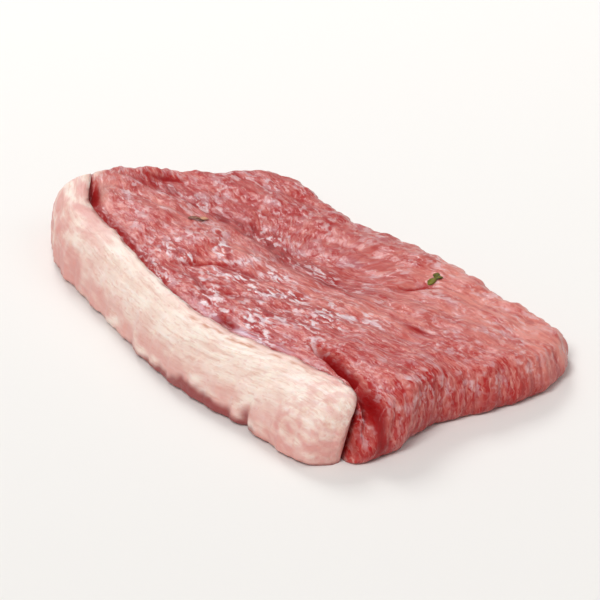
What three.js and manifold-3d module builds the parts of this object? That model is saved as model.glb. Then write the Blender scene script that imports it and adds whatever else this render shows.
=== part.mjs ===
// A raw beef topside steak lying flat: a slab of lean with the outer fat down one long side.
// Millimetres, +Z up, origin at the middle of the footprint. The fat faces -X, the length runs along Y.
import * as THREE from "three";
import { mergeVertices } from "three/addons/utils/BufferGeometryUtils.js";
import Module from "manifold-3d";

// Driving dimensions
const LENGTH = 182;
const WIDTH = 112;
const SEAM_HEIGHT = 20;
const FREE_HEIGHT = 11.5;
const SEAM_GAP = 0.3;
const SEAM_LEAN_OUT = 8;

// The outline at even stations from the front end (-Y) to the far end (+Y), as shares of the width
const SEAM_X = [-0.272, -0.272, -0.312, -0.358, -0.362, -0.334, -0.294, -0.253, -0.12];
const FREE_X = [0.46, 0.482, 0.462, 0.472, 0.446, 0.396, 0.406, 0.426, 0.43];
const FAT_REACH = [0.18, 0.193, 0.166, 0.138, 0.122, 0.116, 0.126, 0.126, 0.15];
// The two ends at even stations from the seam to the free edge, as shares of the length
const FRONT_Y = [-0.484, -0.488, -0.459, -0.468, -0.482, -0.476, -0.44];
const FAR_Y = [0.483, 0.474, 0.452, 0.432, 0.406, 0.376, 0.335];
// Thickness of the lean from the seam to the free edge, as a share of the height at the seam
const THICKNESS = [0.98, 1.0, 0.94, 0.81, 0.74, 0.67, FREE_HEIGHT / SEAM_HEIGHT];

// The free borders: the reach and drop of their round, the bulge of the side and the inset of the foot
const EDGE_ROUND = 5;
const EDGE_DROP = 3.2;
const SIDE_BULGE = 1.6;
const FOOT_INSET = 1.8;
const CORNER_SHARE = 0.11;
const CORNER_CUT = 9;

// The step where one muscle lies over the next: its line from end to end, and how far it drops
const STEP_X = [20.9, 14.9, 7.9, 1.1, 2.7, -3.6, -15.1];
const STEP_DROP = 2.2;
const STEP_REACH = 6;
const STEP_RETURN = 42;
// The step dies out over the second length of each pair, from the first as its limit in Y
const STEP_FROM = { y: -42, over: 26 };
const STEP_TO = { y: 86, over: 18 };

// How deep the lean dips beside the fat, at even stations from the front end, and how wide that dip is
const SEAM_DIP = [1.0, 0.5, 0.4, 1.3, 0.4, 1.6, 2.2, 2.6, 1.4];
const SEAM_DIP_HALF = 1.7;

// Unevenness: the swell and the ripple of the upper side, and the waver of the outline and the fat
const SWELL = 0.8;
const RIPPLE = 0.4;
const RAGGED = 0.8;
const FAT_WAVER = 0.6;

// Creases in the lean: start and end in plan, depth and half-width. An open one stays deep at its end.
const CREASES = [
  { from: [-24.2, -47], to: [-25.6, -72], depth: 7.5, half: 1.8, open: true },
  { from: [-25.4, -70], to: [-30.2, -94], depth: 8.5, half: 2.8, open: true },
  { from: [-17.4, 81], to: [-25.6, 66.5], depth: 6.5, half: 2.5, open: false },
  { from: [-28.6, 19.5], to: [-11.6, 7], depth: 1.4, half: 1.4, open: false },
  { from: [-28.1, 14], to: [-32.1, -4], depth: 1.2, half: 1.4, open: false },
  { from: [-18.6, 13], to: [-9.8, -4], depth: 1.2, half: 1.5, open: false },
  { from: [-28.6, -5], to: [-20.6, -16], depth: 0.9, half: 1.5, open: false },
  { from: [0, 77], to: [11, 70.6], depth: 1.3, half: 1.8, open: false },
  { from: [24.6, -25.8], to: [36.4, -31.8], depth: 1.2, half: 1.4, open: false },
  { from: [10.2, -49.4], to: [13.8, -60.4], depth: 1.3, half: 1.4, open: false },
  { from: [15.7, -34.4], to: [14.9, -43.6], depth: 1.0, half: 1.4, open: false },
];

// The two ends of the fat: their places, how far back they shrink, and the height and width left there
const FAT_FRONT = { y: -83, round: 11, height: 0.8, width: 0.35 };
const FAT_FAR = { y: 89, round: 7, height: 0.88, width: 0.8 };
const END_START = 2;
// How far the fat draws away from the lean at its front end
const FRONT_PULL = 4;
// The last round of both tips, as reach and as shares of width and height
const TIP = { round: 4.5, width: 0.66, height: 0.82, bulge: 1.2 };
const FAT_FOOT_EDGE = 1.6;
// The nick in the lower edge of the fat
const NICK = { y: -50, depth: 2.4, half: 2.4 };
// The fat's outer face is a superellipse quarter, boxy at the far end and slack further on
const BOXINESS = [2.3, 2.1, 1.9, 1.85, 1.85, 1.95, 2.2, 3.0, 3.6];

// Thyme leaflets lying on the lean: place, heading in degrees, length and width
const LEAFLETS = [
  { at: [-5.6, 41.0], turn: -33, size: [5.4, 2.6] },
  { at: [-2.9, 40.4], turn: -8, size: [3.6, 1.9] },
  { at: [39.9, -27.0], turn: 52, size: [4.0, 2.3] },
  { at: [36.9, -28.5], turn: 12, size: [3.9, 2.1] },
  { at: [40.2, -29.2], turn: -28, size: [3.0, 1.7] },
];
const LEAF_THICK = 0.7;
const LEAF_ARCH = 0.2;
const LEAF_CURL = 2.2;

// How finely the surfaces are cut up
const ACROSS = 44;
const ALONG = 64;
const WALL_ROWS = 4;
const FOOT_RINGS = [0.72, 0.45, 0.22];
const FAT_STATIONS = 54;
const FAT_ROWS = 12;
const FAT_LOW_ROWS = 4;
const CROWDING = 0.45;
const FAT_CROWDING = 0.7;

const lerp = (a, b, t) => a + (b - a) * t;
const clamp01 = (t) => Math.min(1, Math.max(0, t));
const smooth = (t) => {
  const c = clamp01(t);
  return c * c * (3 - 2 * c);
};

// A smooth curve through values at even stations, for t from 0 to 1 (Catmull-Rom).
function through(values, t) {
  const last = values.length - 1;
  const at = clamp01(t) * last;
  const i = Math.min(last - 1, Math.floor(at));
  const f = at - i;
  const [a, b, c, d] = [-1, 0, 1, 2].map((k) => values[Math.min(last, Math.max(0, i + k))]);
  return b + 0.5 * f * (c - a + f * (2 * a - 5 * b + 4 * c - d + f * (3 * (b - c) + d - a)));
}

// An uneven wave between about -1 and 1 that never repeats over the steak.
const waver = (u, v) =>
  0.5 * Math.sin(0.19 * u + 0.07 * v + 1.3) +
  0.3 * Math.sin(0.37 * v - 0.11 * u + 4.1) +
  0.2 * Math.sin(0.53 * u + 0.29 * v + 2.2);

// A quarter round: 0 at the border, 1 from reach inwards.
function quarter(distance, reach) {
  const left = 1 - clamp01(distance / reach);
  return Math.sqrt(1 - left * left);
}

const stationOf = (y) => (y + LENGTH / 2) / LENGTH;
const seamX = (y) => WIDTH * through(SEAM_X, stationOf(y));
const freeX = (y) => WIDTH * through(FREE_X, stationOf(y)) + RAGGED * waver(3.3 * y, 40);

// The face between fat and lean leans outwards on its way down.
const seamFace = (y, z) => seamX(y) - SEAM_LEAN_OUT * (1 - z / SEAM_HEIGHT);

// The corners at the free edge are rounded off by the two ends.
const cornerCut = (s) => CORNER_CUT * (1 - quarter(1 - s, CORNER_SHARE));
const frontY = (s) => LENGTH * through(FRONT_Y, s) + cornerCut(s) + RAGGED * waver(260 * s, 10);
const farY = (s) => LENGTH * through(FAR_Y, s) - cornerCut(s) + RAGGED * waver(230 * s, 70);

// Depth of one crease at a point: deepest on its line, tapering at its ends unless it opens at the second.
function creaseDepth(crease, x, y) {
  const [ax, ay] = crease.from;
  const [bx, by] = crease.to;
  const dx = bx - ax;
  const dy = by - ay;
  const along = clamp01(((x - ax) * dx + (y - ay) * dy) / (dx * dx + dy * dy));
  const off = Math.hypot(x - ax - along * dx, y - ay - along * dy);
  const taper = crease.open ? smooth(0.1 + 1.8 * along) : Math.sin(Math.PI * lerp(0.12, 0.88, along));
  return crease.depth * taper * Math.exp(-((off / crease.half) ** 2));
}

// Height of the lean's upper side at (x, y), with s across and the distances to the three free borders.
function leanTop(x, y, s, toFree, toFront, toFar) {
  let z = SEAM_HEIGHT * through(THICKNESS, s);
  z += SWELL * waver(0.9 * x, 0.8 * y) + RIPPLE * waver(2.3 * x, 1.5 * y + 30);
  const past = x - through(STEP_X, stationOf(y));
  const fade = smooth((y - STEP_FROM.y) / STEP_FROM.over) * smooth((STEP_TO.y - y) / STEP_TO.over);
  z -= STEP_DROP * fade * smooth(past / STEP_REACH) * (1 - smooth((past - STEP_REACH) / STEP_RETURN));
  const beside = Math.exp(-(((x - seamX(y)) / SEAM_DIP_HALF) ** 2));
  const dip = through(SEAM_DIP, stationOf(y)) * beside;
  z -= Math.max(dip, ...CREASES.map((crease) => creaseDepth(crease, x, y)));
  const rim = quarter(toFree, EDGE_ROUND) * quarter(toFront, EDGE_ROUND) * quarter(toFar, EDGE_ROUND);
  return z - EDGE_DROP * (1 - rim);
}

// How far the lean's side stands outside its top border, at level q: 0 at the foot, 1 at the top border.
const sideReach = (q) => lerp(-FOOT_INSET, SIDE_BULGE, quarter(q, 0.45)) * (1 - q ** 3);

// A point of the lean for s across and t along. Inside only level q = 1 is used, on a border every level.
function leanPoint(s, t, q) {
  const reach = sideReach(q);
  const y = lerp(frontY(s) - reach, farY(s) + reach, t);
  const topY = lerp(frontY(s), farY(s), t);
  const left = seamX(topY) + SEAM_GAP / 2;
  const right = freeX(topY);
  const topX = lerp(left, right, s);
  const z = q * leanTop(topX, topY, s, right - topX, topY - frontY(s), farY(s) - topY);
  return [lerp(seamFace(y, z) + SEAM_GAP / 2, freeX(y) + reach, s), y, z];
}

// Denser towards both ends of 0 to 1, where the borders are rounded.
const spread = (u, crowding) => u - (crowding * Math.sin(2 * Math.PI * u)) / (2 * Math.PI);

// Collects points and triangles of one closed surface.
class Skin {
  points = [];
  faces = [];

  add(point) {
    return this.points.push(point) - 1;
  }

  quad(a, b, c, d) {
    this.faces.push([a, b, c], [a, c, d]);
  }

  // Joins two closed rings of the same length, the second below or past the first.
  band(first, second) {
    first.forEach((a, i) => {
      const j = (i + 1) % first.length;
      this.quad(a, second[i], second[j], first[j]);
    });
  }

  // Joins a ring to an inner one with half as many points.
  halve(outer, inner) {
    inner.forEach((a, i) => {
      const [p, q, r] = [2 * i, 2 * i + 1, (2 * i + 2) % outer.length].map((k) => outer[k]);
      const b = inner[(i + 1) % inner.length];
      this.faces.push([p, a, q], [q, a, b], [q, b, r]);
    });
  }

  fan(ring, centre) {
    ring.forEach((a, i) => this.faces.push([a, centre, ring[(i + 1) % ring.length]]));
  }

  geometry() {
    return new THREE.BufferGeometry()
      .setAttribute("position", new THREE.Float32BufferAttribute(this.points.flat(), 3))
      .setIndex(this.faces.flat());
  }
}

const meanOf = (points, axis) => points.reduce((sum, p) => sum + p[axis], 0) / points.length;

// The lean: a grid on top, rounded walls, and a flat foot made of rings that halve towards the middle.
function leanGeometry() {
  const skin = new Skin();
  const pointAt = (i, j, q) => {
    return skin.add(leanPoint(spread(i / ACROSS, CROWDING), spread(j / ALONG, CROWDING), q));
  };
  const grid = [];
  for (let j = 0; j <= ALONG; j++) {
    grid.push([]);
    for (let i = 0; i <= ACROSS; i++) grid[j].push(pointAt(i, j, 1));
  }
  for (let j = 0; j < ALONG; j++) {
    for (let i = 0; i < ACROSS; i++) {
      skin.quad(grid[j][i], grid[j][i + 1], grid[j + 1][i + 1], grid[j + 1][i]);
    }
  }
  // The border, anticlockwise from the front end of the seam
  const border = [];
  for (let i = 0; i < ACROSS; i++) border.push([i, 0]);
  for (let j = 0; j < ALONG; j++) border.push([ACROSS, j]);
  for (let i = ACROSS; i > 0; i--) border.push([i, ALONG]);
  for (let j = ALONG; j > 0; j--) border.push([0, j]);
  let ring = border.map(([i, j]) => grid[j][i]);
  for (let row = 1; row <= WALL_ROWS; row++) {
    const next = border.map(([i, j]) => pointAt(i, j, 1 - row / WALL_ROWS));
    skin.band(ring, next);
    ring = next;
  }
  const foot = ring.map((k) => skin.points[k]);
  const middle = [meanOf(foot, 0), meanOf(foot, 1)];
  for (const share of FOOT_RINGS) {
    const stride = (2 * foot.length) / ring.length;
    const next = foot.filter((_, i) => i % stride === 0);
    const inner = next.map((p) => skin.add([lerp(middle[0], p[0], share), lerp(middle[1], p[1], share), 0]));
    skin.halve(ring, inner);
    ring = inner;
  }
  skin.fan(ring, skin.add([...middle, 0]));
  return skin.geometry();
}

// How much of the fat is left at a distance from one of its ends, from its share there up to 1.
const leftAt = (end, distance, key) => lerp(end[key], 1, quarter(distance + END_START, end.round));

// One section of the fat at station y: over the round outer face, back along the foot and up the seam face.
function fatSection(y) {
  const [fromFront, fromFar] = [y - FAT_FRONT.y, FAT_FAR.y - y];
  const heightLeft = leftAt(FAT_FRONT, fromFront, "height") * leftAt(FAT_FAR, fromFar, "height");
  const widthLeft = leftAt(FAT_FRONT, fromFront, "width") * leftAt(FAT_FAR, fromFar, "width");
  const station = stationOf(y);
  const nick = NICK.depth * Math.exp(-(((y - NICK.y) / NICK.half) ** 2));
  const height = SEAM_HEIGHT * heightLeft + RIPPLE * waver(2 * y, 15);
  const outer = seamX(y) - WIDTH * through(FAT_REACH, station) * widthLeft + FAT_WAVER * waver(3.1 * y, 90);
  const pull = FRONT_PULL * (1 - quarter(fromFront + END_START, FAT_FRONT.round)) + SEAM_GAP / 2;
  const inner = seamFace(y, height) - pull;
  const power = 2 / through(BOXINESS, station);
  const points = [];
  for (let i = 0; i <= FAT_ROWS; i++) {
    const angle = (Math.PI / 2) * (i / FAT_ROWS);
    const x = lerp(inner, outer, Math.sin(angle) ** power) + nick * Math.sin(angle) ** 6;
    points.push([x, y, lerp(FAT_FOOT_EDGE, height, Math.cos(angle) ** power)]);
  }
  const footOuter = outer + FOOT_INSET + nick;
  const footInner = seamFace(y, 0) - pull;
  for (let i = 0; i < FAT_LOW_ROWS; i++) points.push([lerp(footOuter, footInner, i / FAT_LOW_ROWS), y, 0]);
  for (let i = 0; i < FAT_LOW_ROWS; i++) {
    const z = (height * i) / FAT_LOW_ROWS;
    points.push([seamFace(y, z) - pull, y, z]);
  }
  // Both tips are rounded off
  const tip = quarter(Math.min(fromFront, fromFar), TIP.round);
  const [tipWidth, tipHeight] = [lerp(TIP.width, 1, tip), lerp(TIP.height, 1, tip)];
  const middle = meanOf(points, 0);
  return points.map(([x, , z]) => [lerp(middle, x, tipWidth), y, z * tipHeight]);
}

function fatGeometry() {
  const skin = new Skin();
  const capAt = (section, out) => {
    return skin.add([meanOf(section, 0), meanOf(section, 1) + out, meanOf(section, 2)]);
  };
  let ring = [];
  for (let k = 0; k <= FAT_STATIONS; k++) {
    const section = fatSection(lerp(FAT_FRONT.y, FAT_FAR.y, spread(k / FAT_STATIONS, FAT_CROWDING)));
    const next = section.map((p) => skin.add(p));
    if (k === 0) skin.fan([...next].reverse(), capAt(section, -TIP.bulge));
    else skin.band(ring, next);
    if (k === FAT_STATIONS) skin.fan(next, capAt(section, TIP.bulge));
    ring = next;
  }
  return skin.geometry();
}

// The height of the lean's upper side at a place in plan, well inside its borders.
function groundAt(x, y) {
  const s = (x - seamX(y)) / (freeX(y) - seamX(y));
  return leanTop(x, y, s, freeX(y) - x, y - frontY(s), farY(s) - y);
}

// A thin arched leaflet lying on the lean.
function leafletGeometry({ at, turn, size }) {
  const geometry = new THREE.SphereGeometry(0.5, 12, 6);
  geometry.scale(size[0], size[1], LEAF_THICK);
  const position = geometry.getAttribute("position");
  for (let i = 0; i < position.count; i++) {
    const along = (2 * position.getX(i)) / size[0];
    position.setZ(i, position.getZ(i) + LEAF_ARCH * Math.cos(LEAF_CURL * along));
  }
  geometry.rotateZ(THREE.MathUtils.degToRad(turn));
  geometry.translate(at[0], at[1], groundAt(at[0], at[1]));
  return geometry;
}

const wasm = await Module();
wasm.setup();

function solidOf(geometry) {
  const bare = geometry.clone();
  bare.deleteAttribute("normal");
  bare.deleteAttribute("uv");
  const merged = mergeVertices(bare, 1e-4);
  return new wasm.Manifold(
    new wasm.Mesh({
      numProp: 3,
      vertProperties: merged.attributes.position.array,
      triVerts: new Uint32Array(merged.index.array),
    }),
  );
}

function geometryOf(solid) {
  const mesh = solid.getMesh();
  return new THREE.BufferGeometry()
    .setAttribute("position", new THREE.BufferAttribute(mesh.vertProperties, 3))
    .setIndex(new THREE.BufferAttribute(mesh.triVerts, 1));
}

function piece(name, geometry, colour, roughness) {
  const material = new THREE.MeshStandardMaterial({ color: colour, roughness, metalness: 0 });
  geometry.computeVertexNormals();
  const mesh = new THREE.Mesh(geometry, material);
  mesh.name = name;
  return mesh;
}

const lean = LEAFLETS.reduce(
  (solid, leaflet) => solid.add(solidOf(leafletGeometry(leaflet))),
  solidOf(leanGeometry()),
);

const steak = new THREE.Group();
steak.add(piece("lean", geometryOf(lean), 0xb4524e, 0.42));
steak.add(piece("fat", fatGeometry(), 0xf0d9c8, 0.5));

export default steak;
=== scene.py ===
"""A raw beef topside steak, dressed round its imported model: moist lean, cream outer fat and bits of thyme.

Lengths in the shape classes are millimetres in the row frame: +X from the fat to the thin edge, +Y along the
length, +Z up from the foot. Meshes are written in metres.
"""

import logging
import math
from dataclasses import dataclass
from enum import Enum

import bpy
import numpy as np
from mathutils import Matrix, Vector


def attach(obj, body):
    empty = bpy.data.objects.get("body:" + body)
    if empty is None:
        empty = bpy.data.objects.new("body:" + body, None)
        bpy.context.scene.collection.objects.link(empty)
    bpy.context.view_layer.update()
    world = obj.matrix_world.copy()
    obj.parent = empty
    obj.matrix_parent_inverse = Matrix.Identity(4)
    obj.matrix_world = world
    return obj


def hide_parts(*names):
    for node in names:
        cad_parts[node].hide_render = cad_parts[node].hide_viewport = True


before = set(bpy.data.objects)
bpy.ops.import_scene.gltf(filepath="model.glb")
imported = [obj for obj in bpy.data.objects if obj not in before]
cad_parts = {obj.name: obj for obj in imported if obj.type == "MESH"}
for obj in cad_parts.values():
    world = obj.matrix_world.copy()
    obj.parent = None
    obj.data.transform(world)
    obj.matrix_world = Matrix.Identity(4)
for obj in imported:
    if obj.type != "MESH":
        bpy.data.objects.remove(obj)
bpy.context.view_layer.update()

Array = np.ndarray
Value = Array | float
MM = 0.001
PATCH_GAIN = 1.6
LAYER_TURN = (1.62, 1.18)
LAYER_SHIFT = (5.3, 1.7)
LAYER_SEED = 11
LOG = logging.getLogger("steak")


def lerp(a: Value, b: Value, t: Value) -> Value:
    """The value a share t of the way from a to b."""
    return a + (b - a) * t


def smooth(t: Array) -> Array:
    """A soft step: 3 t squared minus 2 t cubed, with t held between 0 and 1."""
    c = np.clip(t, 0.0, 1.0)
    return c * c * (3.0 - 2.0 * c)


def quarter(distance: Array, reach: float) -> Array:
    """A quarter circle's height: 0 at the border, 1 from reach inwards."""
    left = 1.0 - np.clip(distance / reach, 0.0, 1.0)
    return np.sqrt(1.0 - left * left)


def through(values: tuple[float, ...], t: Array) -> Array:
    """A smooth curve (Catmull-Rom) through values at even stations.

    Args:
        values: The heights at the stations, the first at t = 0 and the last at t = 1.
        t: Where to read the curve.

    Returns:
        The curve's height at each t.
    """
    table = np.asarray(values, float)
    last = len(table) - 1
    at = np.clip(t, 0.0, 1.0) * last
    i = np.minimum(last - 1, np.floor(at)).astype(int)
    f = at - i
    a, b, c, d = (table[np.clip(i + k, 0, last)] for k in (-1, 0, 1, 2))
    return b + 0.5 * f * (c - a + f * (2 * a - 5 * b + 4 * c - d + f * (3 * (b - c) + d - a)))


def waver(u: Array, v: Array) -> Array:
    """An uneven wave between about -1 and 1: three sines of odd lengths, crossed."""
    return (
        0.5 * np.sin(0.19 * u + 0.07 * v + 1.3)
        + 0.3 * np.sin(0.37 * v - 0.11 * u + 4.1)
        + 0.2 * np.sin(0.53 * u + 0.29 * v + 2.2)
    )


def lattice(i: Array, j: Array, seed: int) -> Array:
    """A fixed scatter of values between 0 and 1: the fraction of a large sine at each whole-number point."""
    mixed = np.sin(i * 12.9898 + j * 78.233 + seed * 37.719) * 43758.5453
    return mixed - np.floor(mixed)


def patches(u: Array, v: Array, seed: int) -> Array:
    """Soft patches one unit wide: at each whole-number point a slope of its own, blended by a soft step.

    Args:
        u: First place, in patch widths.
        v: Second place, in patch widths.
        seed: Picks the slopes.

    Returns:
        Values between about -1 and 1.
    """
    i, j = np.floor(u), np.floor(v)
    total = 0.0
    for di in (0, 1):
        for dj in (0, 1):
            turn = 2 * np.pi * lattice(i + di, j + dj, seed)
            du, dv = u - i - di, v - j - dj
            slope = np.cos(turn) * du + np.sin(turn) * dv
            total = total + smooth(1 - abs(du)) * smooth(1 - abs(dv)) * slope
    return PATCH_GAIN * total


def layered(u: Array, v: Array, seed: int, layers: int) -> Array:
    """Patches in layers, each half as large and half as strong as the last, turned so that no grid shows.

    Args:
        u: First place, in patch widths.
        v: Second place, in patch widths.
        seed: Picks the scatter.
        layers: How many sizes are added.

    Returns:
        Values between about -1 and 1.
    """
    total = np.zeros(np.broadcast(u, v).shape)
    ahead, aside = LAYER_TURN
    for layer in range(layers):
        total = total + patches(u, v, seed + LAYER_SEED * layer) / 2**layer
        u, v = ahead * u + aside * v + LAYER_SHIFT[0], ahead * v - aside * u + LAYER_SHIFT[1]
    return total / 1.5


@dataclass(frozen=True)
class Bell:
    """A share over one measure: 1 at its middle, and small beyond its half width."""

    middle: float
    half: float

    def at(self, place: Array) -> Array:
        """The share: e to the minus square of the distance from the middle, in half widths."""
        return np.exp(-(((place - self.middle) / self.half) ** 2))


@dataclass(frozen=True)
class Ramp:
    """A share over one measure: 0 at low and before it, 1 at high and past it, either way round."""

    low: float
    high: float

    def at(self, place: Array) -> Array:
        """The share: a soft step from low to high."""
        return smooth((place - self.low) / (self.high - self.low))


@dataclass(frozen=True)
class Window:
    """A share over one measure: it rises from start to full, and falls from last to end."""

    start: float
    full: float
    last: float
    end: float

    def at(self, place: Array) -> Array:
        """The share: the rise times the fall."""
        return Ramp(self.start, self.full).at(place) * Ramp(self.end, self.last).at(place)


Curve = Bell | Ramp | Window


@dataclass(frozen=True)
class Wave:
    """An uneven wave: its height, its rates over one or two measures, and its phase."""

    height: float
    rate: tuple[float, float]
    phase: float = 0.0

    def at(self, u: Array, v: Value = 0.0) -> Array:
        """The wave's height at each place."""
        return self.height * waver(self.rate[0] * u, self.rate[1] * v + self.phase)


@dataclass
class Spots:
    """Places on the steak, with the measures that its relief and colours are laid out by.

    Beside is the distance from the seam between fat and lean, and across and along follow the grain. The lean
    alone has past, the distance past the muscle step, and level, 0 at the foot and 1 on the upper side.
    """

    x: Array
    y: Array
    z: Array
    beside: Array
    across: Array
    along: Array
    past: Array | None = None
    level: Array | None = None
    end_y: float = 80.0

    @property
    def wall(self) -> Array:
        """Place along the nearest wall: x at both ends, and x plus y between them."""
        return self.x + np.where(np.abs(self.y) > self.end_y, 0.0, self.y)

    @property
    def slant(self) -> Array:
        """Place slantwise over the steak: x plus y."""
        return self.x + self.y


class Laid(Enum):
    """The two measures that a scatter of patches is laid out by."""

    PLAN = ("x", "y")
    GRAIN = ("across", "along")
    SEAM = ("beside", "y")
    FACE = ("y", "z")
    WALL = ("wall", "z")
    SIDE = ("slant", "level")


@dataclass(frozen=True)
class Scatter:
    """A scatter of soft patches: what it is laid out by, the size of the largest both ways, and its seed.

    Its values lie round the mean, and swing by about the gain.
    """

    laid: Laid
    size: tuple[float, float]
    seed: int
    layers: int = 2
    mean: float = 0.0
    gain: float = 1.0

    def at(self, spots: Spots) -> Array:
        """The mean, and the gain times the layered patches."""
        u, v = (getattr(spots, measure) / size for measure, size in zip(self.laid.value, self.size))
        return self.mean + self.gain * layered(u, v, self.seed, self.layers)

    def share(self, spots: Spots) -> Array:
        """The same, held softly between 0 and 1."""
        return smooth(self.at(spots))


@dataclass(frozen=True)
class Zone:
    """A soft-edged zone: its strength, its curves over the spots' measures, and patches that break it up."""

    strength: float
    x: Curve | None = None
    y: Curve | None = None
    z: Curve | None = None
    beside: Curve | None = None
    past: Curve | None = None
    level: Curve | None = None
    broken: Scatter | None = None

    def at(self, spots: Spots) -> Array:
        """How much of the zone is at each place: its strength times every share that it has.

        Args:
            spots: The places.

        Returns:
            0 to the strength.
        """
        share = np.full(spots.x.shape, self.strength)
        for measure in ("x", "y", "z", "beside", "past", "level"):
            curve = getattr(self, measure)
            if curve:
                share = share * curve.at(getattr(spots, measure))
        return share * self.broken.share(spots) if self.broken else share


def linear(hex_colour: str) -> tuple[float, float, float, float]:
    """An sRGB hex colour as the linear colour that shaders take."""
    parts = [int(hex_colour[k : k + 2], 16) / 255.0 for k in (1, 3, 5)]
    red, green, blue = (p / 12.92 if p <= 0.04045 else ((p + 0.055) / 1.055) ** 2.4 for p in parts)
    return red, green, blue, 1.0


@dataclass(frozen=True)
class Crease:
    """A crease in the lean, from start to end in plan. An open one stays deep at its end.

    The half is its half width, and red is how much blood it holds. A shallow one holds less, in its
    core alone.
    """

    start: tuple[float, float]
    end: tuple[float, float]
    depth: float
    half: float
    open: bool = False
    red: float = 1.0
    closed_taper: tuple[float, float] = (0.12, 0.88)
    open_taper: Ramp = Ramp(-0.1 / 1.8, 0.5)
    shallow: float = 3.0

    def share(self, x: Array, y: Array, narrow: float = 1.0) -> Array:
        """How much of the crease is at each place: a bell across its line, tapered along it.

        Args:
            x: Place across the steak.
            y: Place along the steak.
            narrow: Below 1 gives the crease's core alone.

        Returns:
            0 to 1.
        """
        dx, dy = self.end[0] - self.start[0], self.end[1] - self.start[1]
        along = ((x - self.start[0]) * dx + (y - self.start[1]) * dy) / (dx * dx + dy * dy)
        along = np.clip(along, 0.0, 1.0)
        off = np.hypot(x - self.start[0] - along * dx, y - self.start[1] - along * dy)
        taper = self.open_taper.at(along) if self.open else np.sin(np.pi * lerp(*self.closed_taper, along))
        return taper * Bell(0.0, self.half * narrow).at(off)

    def blood(self, x: Array, y: Array) -> Array:
        """How bloody the crease is at each place, 0 to 1."""
        strength, narrow = (0.88, 0.55) if self.depth < self.shallow else (1.0, 0.9)
        return strength * self.red * self.share(x, y, narrow)


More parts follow.
